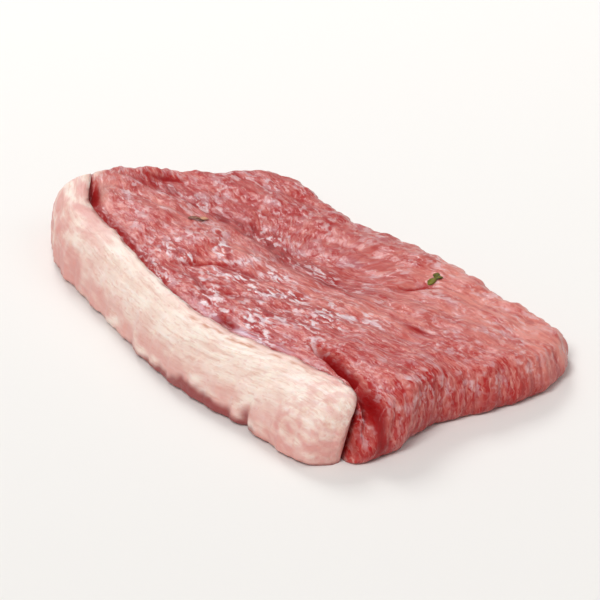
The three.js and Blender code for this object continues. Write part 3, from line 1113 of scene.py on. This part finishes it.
    def height(self, x: Array, y: Array) -> Array:
        """Height of the dressed upper side, well inside its borders.

        Args:
            x: Place across the steak.
            y: Place along the steak.

        Returns:
            The height above the foot.
        """
        ground = self.cut.ground(x, y)
        points = np.stack([x.ravel(), y.ravel(), ground.ravel()], axis=-1)
        return ground + self.relief(self.spots(points, np.ones(x.size))).reshape(x.shape)

    def wetness(self, at: Spots) -> Array:
        """Where the meat is moist and coarse, which also lays the painted glints and sheen: beside the fat up
        to the muscle step, and in the valley past it.

        Args:
            at: The places.

        Returns:
            0 to 1.
        """
        ends = self.wet_least + self.wet_far.at(at)
        moist_glint_zone = np.maximum.reduce([self.wet_near.at(at), self.wet_hollow.at(at), ends])
        moist_glint_zone = moist_glint_zone * self.wet_patches.share(at)
        slit = np.maximum.reduce([crease.share(at.x, at.y, self.dry_width) for crease in self.cut.creases])
        dry = (1.0 - slit) * (1.0 - self.rind(at)) * (1.0 - np.minimum(self.pocket.at(at), 1.0))
        return np.clip(moist_glint_zone * dry, 0.0, 1.0)

    def rind(self, at: Spots) -> Array:
        """Where cream tissue of the fat runs on over the lean: round the slit at the far end.

        Args:
            at: The places.

        Returns:
            0 to 0.9.
        """
        outer, inner = (self.cut.far_slit.share(at.x, at.y, width) for width in self.rind_widths)
        tissue = self.rind_corner.at(at) + self.rind_ring * (outer - inner)
        return np.clip(tissue * self.rind_patches.at(at), 0.0, self.rind_most)

    def blood(self, at: Spots) -> Array:
        """Where the meat is deep red: down the creases and along the fat, with painted shade in red dashes
        past the muscle step and faintly over the thin side's far half, and redder low on the cut sides.

        Args:
            at: The places.

        Returns:
            0 to 1.
        """
        line = np.clip(self.blood_line.at(at) * self.blood_line_patches.at(at), 0.0, self.blood_line_most)
        line = line * self.blood_line_beside.at(at.beside)
        creases = [crease.blood(at.x, at.y) for crease in (*self.cut.creases, *self.lines)]
        deep = np.maximum.reduce([line, self.blood_seam.at(at), self.pocket.at(at), *creases])
        dashes = lerp(self.dashes_least, 1.0, self.dashes.share(at))
        # Painted shade in the valley past the muscle step, in red dashes.
        valley_shade_dashes = self.valley_shade_and_red.at(at) * self.cut.step_window.at(at.y) * dashes
        deep = deep * lerp(self.blood_foot, 1.0, at.level)
        most = np.maximum.reduce([deep, valley_shade_dashes, self.thin_side_shade.at(at)])
        return np.clip(most + self.side_redder_low.at(at), 0.0, 1.0)

    def pale(self, at: Spots) -> Array:
        """Where the meat is pale: in soft streaks before the muscle step and towards the thin edge.

        Args:
            at: The places.

        Returns:
            0 to 0.92.
        """
        streaks = sum(zone.at(at) for zone in self.pale_zones) * self.pale_streaks.share(at)
        return np.clip(streaks + self.pale_rim.at(at), 0.0, self.pale_most)

    def silver(self, at: Spots) -> Array:
        """A thin silvery membrane beside the fat, with a gap at the pocket."""
        strip = self.silver_strip.at(at) * (1.0 - self.silver_gap.at(at.y))
        return np.clip(strip, 0.0, self.silver_most)

    def dress(self) -> bpy.types.Object:
        """Makes the piece, with its relief, its marks and its finish.

        Returns:
            The piece.
        """
        skin, points, level = self.build()
        at = self.spots(points, level)
        grained = points + skin.normals(points) * self.relief(at)[:, None]
        grained[level <= 0.0] = points[level <= 0.0]
        grained[:, 2] = np.maximum(grained[:, 2], 0.0)
        piece = mesh_of("lean_meat", skin, grained)
        upper = self.upper_colour.at(level)
        mark(piece, "grain", np.stack([at.across, at.along, at.z], axis=-1))
        mark(piece, "blood", self.blood(at))
        mark(piece, "pale", self.pale(at) * lerp(self.pale_walls, 1.0, upper))
        mark(piece, "silver", self.silver(at))
        mark(piece, "rind", self.rind(at) * self.rind_level.at(level))
        # Where the meat is moist, which lays the painted glints and sheen; less of it on the cut sides.
        mark(piece, "moist_glint_zone", self.wetness(at) * lerp(self.wall_glint_share, 1.0, upper))
        piece.data.materials.append(MOIST_LEAN.material())
        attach(piece, "root")
        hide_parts("lean")
        return piece


@dataclass(frozen=True)
class FatEnd:
    """One end of the fat: its place, how far back it shrinks, and the height and width left there."""

    y: float
    round: float
    height: float
    width: float
    start: float = 2.0

    def left(self, distance: Array, share: float) -> Array:
        """How much is left at a distance from the end, from share there up to 1."""
        return lerp(share, 1.0, quarter(distance + self.start, self.round))


@dataclass
class Fat:
    """The band of outer fat, swept along the seam as one closed surface.

    The places round a section are numbered from 0 to 1 over its outer face, and the foot and the seam face
    have a number each. Pink, tan and red are the marks of the finish; the first and the last also lay painted
    shade low on the outer face.
    """

    cut: Cut
    front: FatEnd = FatEnd(-83.0, 11.0, 0.8, 0.35)
    far: FatEnd = FatEnd(88.4, 7.0, 0.93, 0.8)
    front_pull: float = 4.0
    tip_round: float = 4.5
    tip_width: float = 0.66
    tip_height: float = 0.82
    far_tip_height: float = 0.72
    tip_bulge: float = 1.2
    foot_edge: float = 1.6
    nick: Bell = Bell(-50.0, 2.4)
    nick_depth: float = 2.4
    nick_power: int = 6
    boxiness: tuple[float, ...] = (2.3, 2.1, 1.9, 1.85, 1.85, 1.95, 2.2, 3.0, 3.6)
    height_wave: Wave = Wave(0.4, (2.0, 0.0), 15.0)
    outer_wave: Wave = Wave(0.6, (3.1, 0.0), 90.0)
    stations: int = 380
    crowding: float = 0.7
    outer_rows: int = 60
    low_rows: int = 8
    seam_rows: int = 18
    cap_rings: int = 16
    cap: float = 0.5
    foot: float = 2.0
    seam_face: float = 3.0
    ease: float = 0.5
    ease_width: Bell = Bell(0.0, 0.9)
    outer_face: Ramp = Ramp(1.4, 1.2)
    off_foot: Ramp = Ramp(0.0, 3.0)
    lumps: tuple[Scatter, ...] = (
        Scatter(Laid.GRAIN, (8.0, 11.0), 61, 3, gain=0.34),
        Scatter(Laid.GRAIN, (2.4, 18.0), 63, gain=0.13),
    )
    stir: Scatter = Scatter(Laid.PLAN, (12.0, 20.0), 65, gain=1.2)
    pink_and_shade_zones: tuple[Zone, ...] = (
        # Painted shade with a rosy bounce from the meat, growing down the outer face.
        Zone(0.75, z=Ramp(16.5, 5.5), broken=Scatter(Laid.FACE, (9.0, 5.0), 67, mean=0.75)),
        Zone(
            0.6, beside=Bell(-0.8, 2.2), z=Ramp(12.0, 16.0), y=Ramp(30.0, -30.0),
            broken=Scatter(Laid.SEAM, (2.0, 6.0), 77, mean=0.7),
        ),
        Zone(0.28, broken=Scatter(Laid.GRAIN, (1.6, 2.6), 69, mean=-5.0 / 3.0, gain=10.0 / 3.0)),
        Zone(0.5, y=Ramp(-50.0, -70.0), broken=Scatter(Laid.GRAIN, (4.0, 4.0), 71, 3, 0.4, 1.3)),
        Zone(0.85, y=Ramp(26.0, 66.0), broken=Scatter(Laid.GRAIN, (7.0, 9.0), 73, 3, 0.6, 1.1)),
    )
    tan_line: Zone = Zone(
        0.9, beside=Bell(-3.4, 0.9), z=Ramp(14.0, 17.0), y=Window(-72.0, -58.0, -16.0, -2.0),
        broken=Scatter(Laid.SEAM, (1.1, 5.0), 81, mean=0.35, gain=1.5),
    )
    tan_most: float = 0.8
    # Along the foot the fat turns red: red tissue under its edge, and painted shade of the crevice beneath
    # it.
    foot_red_and_shade: float = 0.9
    red_heights: tuple[float, float] = (2.4, 7.0)
    red_swell: Bell = Bell(-26.0, 26.0)
    red_edge: Scatter = Scatter(Laid.FACE, (6.0, 6.0), 75, gain=1.8)
    red_fade: Ramp = Ramp(0.0, 3.0)
    red_zones: tuple[Zone, ...] = (
        Zone(
            0.85, beside=Bell(-0.3, 0.8), z=Ramp(12.0, 16.0), y=Ramp(80.0, 76.0),
            broken=Scatter(Laid.SEAM, (0.8, 4.0), 79, mean=0.3, gain=1.6),
        ),
        Zone(0.85, y=Bell(-50.0, 1.68), z=Ramp(9.0, 4.0)),
    )
    red_seam: Zone = Zone(0.75, z=Ramp(18.0, 15.5))
    most: float = 0.92

    def sections(self) -> tuple[Array, Array]:
        """Works out the sections, which follow the seam, and shrink and round off at both tips.

        A section is a superellipse quarter from the top of the seam to the foot, closed by a flat foot and
        the seam face.

        Returns:
            The points, by station and by place round the section, and the number of each place round it.
        """
        cut, front, far = self.cut, self.front, self.far
        y = lerp(front.y, far.y, spread(self.stations, self.crowding))[:, None]
        from_front, from_far = y - front.y, far.y - y
        height_left = front.left(from_front, front.height) * far.left(from_far, far.height)
        width_left = front.left(from_front, front.width) * far.left(from_far, far.width)
        station = cut.station(y)
        nick = self.nick_depth * self.nick.at(y)
        height = cut.seam_height * height_left + self.height_wave.at(y)
        reach = cut.width * through(cut.fat_reach, station) * width_left
        outer = cut.seam_x(y) - reach + self.outer_wave.at(y)
        pull = self.front_pull * (1.0 - front.left(from_front, 0.0)) + cut.seam_gap / 2
        inner = cut.seam_face(y, height) - pull
        power = 2.0 / through(self.boxiness, station)
        turn = np.linspace(0.0, 1.0, self.outer_rows + 1)[None, :]
        sine, cosine = np.sin(np.pi / 2 * turn), np.clip(np.cos(np.pi / 2 * turn), 0.0, 1.0)
        face_x = lerp(inner, outer, sine**power) + nick * sine**self.nick_power
        face_z = lerp(self.foot_edge, height, cosine**power) - self.ease * self.ease_width.at(face_x - inner)
        low = np.arange(self.low_rows)[None, :] / self.low_rows
        low_x = lerp(outer + cut.foot_inset + nick, cut.seam_face(y, 0.0) - pull, low)
        rise = height * np.arange(self.seam_rows)[None, :] / self.seam_rows
        x = np.concatenate([face_x, low_x, cut.seam_face(y, rise) - pull], axis=1)
        z = np.concatenate([face_z, np.zeros_like(low_x), rise], axis=1)
        tip = quarter(np.minimum(from_front, from_far), self.tip_round)
        narrow = lerp(self.tip_width, 1.0, tip)
        off_seam = x - cut.seam_face(y, z)
        z = z * lerp(np.where(y > 0.0, self.far_tip_height, self.tip_height), 1.0, tip)
        far_x = cut.seam_face(y, z) + off_seam * narrow
        front_x = lerp(x.mean(axis=1, keepdims=True), x, narrow)
        x = np.where(y > 0.0, far_x, front_x)
        ends = [np.full(self.low_rows, self.foot), np.full(self.seam_rows, self.seam_face)]
        return np.stack([x, np.broadcast_to(y, x.shape), z], axis=-1), np.concatenate([turn[0], *ends])

    def build(self) -> tuple[Skin, Array, Array]:
        """Builds the base surface: bands between the sections, and a domed cap on both tips.

        Returns:
            The skin, its points, and for each point its place's number round the section.
        """
        points, places = self.sections()
        skin = Skin()
        rings = skin.add(points)
        for first, second in zip(rings[:-1], rings[1:]):
            skin.band(first, second)
        around = [np.tile(places, len(points))]
        for ring, section, out in ((rings[0][::-1], points[0][::-1], -1.0), (rings[-1], points[-1], 1.0)):
            middle = section.mean(axis=0)
            bulge = np.array([0.0, out * self.tip_bulge, 0.0])
            for share in np.linspace(0.0, 1.0, self.cap_rings + 1, endpoint=False)[1:]:
                inner = skin.add(lerp(section, middle, share) + bulge * (1.0 - (1.0 - share) ** 2))
                skin.band(ring, inner)
                ring = inner
                around.append(np.full(len(ring), self.cap))
            skin.fan(ring, skin.add(middle[None, :] + bulge)[0])
            around.append(np.array([self.cap]))
        return skin, skin.points(), np.concatenate(around)

    def dress(self) -> bpy.types.Object:
        """Makes the piece, with its relief, its marks and its finish.

        Returns:
            The piece.
        """
        skin, points, around = self.build()
        x, y, z = points.T
        beside = x - self.cut.seam_x(y)
        at = Spots(x, y, z, beside, beside + z, y + beside - z)
        lumps = sum(lump.at(at) for lump in self.lumps) * self.outer_face.at(around) * self.off_foot.at(z)
        uneven = points + skin.normals(points) * lumps[:, None]
        uneven[:, 2] = np.maximum(uneven[:, 2], 0.0)
        piece = mesh_of("fat_cover", skin, uneven)
        mark(piece, "grain", np.stack([beside + self.stir.at(at), y, z], axis=-1))
        mark(piece, "pink_and_low_shade", self.pink_and_low_shade(at))
        mark(piece, "red", self.red(at, around))
        mark(piece, "tan", self.tan(at))
        piece.data.materials.append(BEEF_FAT.material())
        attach(piece, "root")
        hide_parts("fat")
        return piece

    def pink_and_low_shade(self, at: Spots) -> Array:
        """Where the fat is pinker: painted shade with a rosy bounce from the meat low on its face, and rosy
        tissue along the lean, in flecks, and in blotches at both ends.
        """
        return np.clip(sum(zone.at(at) for zone in self.pink_and_shade_zones), 0.0, self.most)

    def tan(self, at: Spots) -> Array:
        """Where a thin broken line of brownish tissue follows the lean, on the front half."""
        return np.clip(self.tan_line.at(at), 0.0, self.tan_most)

    def red(self, at: Spots, around: Array) -> Array:
        """Where the fat is red: red tissue with painted shade in a broken strip along the foot, and red
        tissue in a broken strip along the seam, in the nick and on the seam face.

        Args:
            at: The places.
            around: Their numbers round the section.

        Returns:
            0 to 0.92.
        """
        height = lerp(*self.red_heights, self.red_swell.at(at.y)) + self.red_edge.at(at)
        strip = self.foot_red_and_shade * self.red_fade.at(height - at.z)
        seam = np.where(around == self.seam_face, self.red_seam.at(at), 0.0)
        zones = [zone.at(at) for zone in self.red_zones]
        return np.clip(np.maximum.reduce([strip, *zones, seam]), 0.0, self.most)


@dataclass(frozen=True)
class Leaflet:
    """One thyme leaflet: its place on the lean, its heading in degrees, its length and width, and how pale.

    The lift is how high its underside lies over the meat, and thick is its height along the rib. Its half
    width is the bluntness power of 1 - t squared, wider at the stem, and it arches, folds and curls by a few
    tenths.
    """

    at: tuple[float, float]
    turn: float
    size: tuple[float, float]
    pale: float = 0.0
    lift: float = 0.05
    thick: float = 0.3
    bluntness: float = 0.62
    stem: float = 0.18
    arch: float = 0.28
    fold: float = 0.22
    curl: float = 0.1
    curl_rates: tuple[float, float] = (3.0, 2.0)
    rib: float = 0.5
    rib_width: Bell = Bell(0.0, 0.22)
    sections: int = 14
    around: int = 18

    def points(self, lean: Lean, t: Array, s: Array, above: Array) -> Array:
        """Points of the leaflet, which is folded a little along its rib and arched from stem to tip.

        Args:
            lean: The meat under the leaf.
            t: Place along the leaf, -1 at the stem and 1 at the tip, where it runs out to a point.
            s: Place across it, -1 to 1.
            above: Height over the underside's rib where the leaf is widest.

        Returns:
            An array of points, three numbers each.
        """
        outline = np.clip(1.0 - t * t, 0.0, 1.0) ** self.bluntness * (1.0 - self.stem * t)
        u, v = 0.5 * self.size[0] * t, 0.5 * self.size[1] * s * outline
        turn = math.radians(self.turn)
        x = self.at[0] + u * math.cos(turn) - v * math.sin(turn)
        y = self.at[1] + u * math.sin(turn) + v * math.cos(turn)
        along, across = self.curl_rates
        bent = self.fold * np.abs(s) + self.curl * np.sin(along * t + across * s)
        rise = self.arch * (1.0 - t * t) + (bent + above) * outline
        return np.stack([x, y, lean.height(x, y) + self.lift + rise], axis=-1)

    def add_to(self, skin: Skin, lean: Lean) -> Array:
        """Adds the leaflet to a skin, as closed sections that are flat below and a half ellipse above.

        Args:
            skin: The skin that collects the leaflets of one piece.
            lean: The meat under the leaf.

        Returns:
            How pale each new point is, 0 to 1: most along the rib.
        """
        t = np.cos(np.linspace(np.pi, 0.0, self.sections + 1))[1:-1, None]
        turn = np.linspace(0.0, 2 * np.pi, self.around, endpoint=False)[None, :]
        s = np.cos(turn)
        rings = skin.add(self.points(lean, t, s, self.thick * np.clip(np.sin(turn), 0.0, 1.0)))
        for first, second in zip(rings[:-1], rings[1:]):
            skin.band(second, first)
        ends = np.array([[-1.0], [1.0]])
        stem, tip = skin.add(self.points(lean, ends, np.zeros_like(ends), np.zeros_like(ends))).ravel()
        skin.fan(rings[0], stem)
        skin.fan(rings[-1][::-1], tip)
        pale = np.clip(self.rib * self.rib_width.at(s) + self.pale, 0.0, 1.0)
        return np.concatenate([np.broadcast_to(pale, rings.shape).ravel(), np.full(2, pale.max())])


@dataclass
class Thyme:
    """A bit of thyme: a few leaflets in one piece."""

    lean: Lean
    name: str
    dryness: Dryness
    leaflets: tuple[Leaflet, ...]

    def dress(self) -> bpy.types.Object:
        """Makes the piece and its finish.

        Returns:
            The piece.
        """
        skin = Skin()
        pale = [leaflet.add_to(skin, self.lean) for leaflet in self.leaflets]
        piece = mesh_of(self.name, skin, skin.points())
        mark(piece, "grain", skin.points())
        mark(piece, "rib", np.concatenate(pale))
        piece.data.materials.append(self.dryness.value.material())
        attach(piece, "root")
        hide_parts("lean")
        return piece


class LampKind(Enum):
    """The kinds of light, each with Blender's name and the property that holds its size."""

    PANEL = ("AREA", "size")
    SUN = ("SUN", "angle")


@dataclass(frozen=True)
class Lamp:
    """A soft light that faces the steak.

    It stands at an azimuth, 0 in front and 90 towards +X, at an elevation and at a distance in metres. A
    panel's size is its side in metres and its power is in watts, and a sun's are degrees and watts per square
    metre.
    """

    name: str
    kind: LampKind
    azimuth: float
    elevation: float
    distance: float
    size: float
    power: float

    def hang(self) -> None:
        """Adds the light to the scene."""
        kind, size = self.kind.value
        data = bpy.data.lights.new(self.name, kind)
        setattr(data, size, math.radians(self.size) if self.kind is LampKind.SUN else self.size)
        data.energy = self.power
        a, e = math.radians(self.azimuth), math.radians(self.elevation)
        way = Vector((math.sin(a) * math.cos(e), -math.cos(a) * math.cos(e), math.sin(e)))
        light = bpy.data.objects.new(self.name, data)
        light.location = way * self.distance
        light.rotation_euler = (-way).to_track_quat("-Z", "Y").to_euler()
        bpy.context.scene.collection.objects.link(light)


@dataclass
class Studio:
    """The pale floor, the soft lights and the camera, which looks from where the photograph was taken.

    The clip and the floor's sizes are in metres. The floor is a flat disc whose border sweeps up as a quarter
    of an ellipse.
    """

    camera_mm: tuple[float, float, float] = (-814.0, -1122.0, 794.0)
    aim_mm: tuple[float, float, float] = (3.0, -4.0, 6.0)
    frame_mm: float = 191.0
    sensor_mm: float = 36.0
    clip: tuple[float, float] = (0.1, 60.0)
    middle_radius: float = 0.3
    flat_radius: float = 2.6
    sweep_radius: float = 6.0
    sweep_rise: float = 1.5
    floor_sides: int = 96
    sweep_rings: int = 25
    floor_colour: str = "#efece8"
    floor_rough: float = 0.75
    world_colour: str = "#f1f2f4"
    world_strength: float = 0.34
    lamps: tuple[Lamp, ...] = (
        Lamp("key", LampKind.SUN, -66.0, 52.0, 3.0, 26.0, 1.7),
        Lamp("back", LampKind.PANEL, 160.0, 44.0, 1.4, 0.5, 8.0),
        Lamp("side", LampKind.PANEL, 40.0, 50.0, 1.6, 0.9, 3.0),
    )

    def camera(self) -> None:
        """Places the camera, level, with a long lens whose frame is frame_mm wide at the steak."""
        data = bpy.data.cameras.new("camera")
        place, aim = Vector(self.camera_mm) * MM, Vector(self.aim_mm) * MM
        data.sensor_width = self.sensor_mm
        data.lens = self.sensor_mm * (aim - place).length / (self.frame_mm * MM)
        data.clip_start, data.clip_end = self.clip
        camera = bpy.data.objects.new("camera", data)
        camera.location = place
        camera.rotation_euler = (aim - place).to_track_quat("-Z", "Y").to_euler()
        bpy.context.scene.collection.objects.link(camera)
        bpy.context.scene.camera = camera

    def floor(self) -> None:
        """Lays the floor that the steak rests on."""
        turn = np.linspace(0.0, 2 * np.pi, self.floor_sides, endpoint=False)
        lift = np.linspace(0.0, np.pi / 2, self.sweep_rings)
        sweep = self.flat_radius + (self.sweep_radius - self.flat_radius) * np.sin(lift)
        radius = np.concatenate([[self.middle_radius], sweep])
        height = np.concatenate([[0.0], self.sweep_rise * (1.0 - np.cos(lift))])
        x, y = np.outer(radius, np.cos(turn)), np.outer(radius, np.sin(turn))
        skin = Skin()
        rings = skin.add(np.stack([x, y, np.broadcast_to(height[:, None], x.shape)], axis=-1) / MM)
        for inner, outer in zip(rings[:-1], rings[1:]):
            skin.band(outer, inner)
        skin.fan(rings[0], skin.add(np.zeros((1, 3)))[0])
        floor = mesh_of("floor", skin, skin.points())
        paper = new_material("pale_paper_sweep")
        tree, colour = paper.node_tree, linear(self.floor_colour)
        surface = add(tree, "ShaderNodeBsdfPrincipled", Base_Color=colour, Roughness=self.floor_rough)
        add(tree, "ShaderNodeOutputMaterial", Surface=surface.outputs[0])
        floor.data.materials.append(paper)

    def build(self) -> None:
        """Sets up the whole studio."""
        self.camera()
        self.floor()
        for lamp in self.lamps:
            lamp.hang()
        world = bpy.data.worlds.new("studio")
        bpy.context.scene.world = world
        world.use_nodes = True
        background = world.node_tree.nodes["Background"]
        background.inputs["Color"].default_value = linear(self.world_colour)
        background.inputs["Strength"].default_value = self.world_strength
        bpy.context.scene.view_settings.view_transform = "Standard"


DRIED_LEAFLETS = (
    Leaflet((-5.6, 41.0), -33, (5.4, 2.6)),
    Leaflet((-2.9, 40.4), -8, (3.6, 1.9), pale=0.7),
)
FRESH_LEAFLETS = (
    Leaflet((40.3, -26.6), 56, (4.0, 2.4)),
    Leaflet((37.0, -28.7), 16, (4.3, 2.4), pale=0.3),
    Leaflet((39.9, -28.4), -6, (3.2, 1.9)),
)


def main() -> None:
    """Builds the studio and the pieces."""
    logging.basicConfig(level=logging.INFO, format="%(name)s: %(message)s")
    Studio().build()
    cut = Cut()
    lean = Lean(cut)
    makers = (
        lean,
        Fat(cut),
        Thyme(lean, "thyme_dried", Dryness.DRIED, DRIED_LEAFLETS),
        Thyme(lean, "thyme_fresh", Dryness.FRESH, FRESH_LEAFLETS),
    )
    for maker in makers:
        piece = maker.dress()
        LOG.info("%s: %d points, %d faces", piece.name, len(piece.data.vertices), len(piece.data.polygons))


if __name__ == "__main__":
    main()
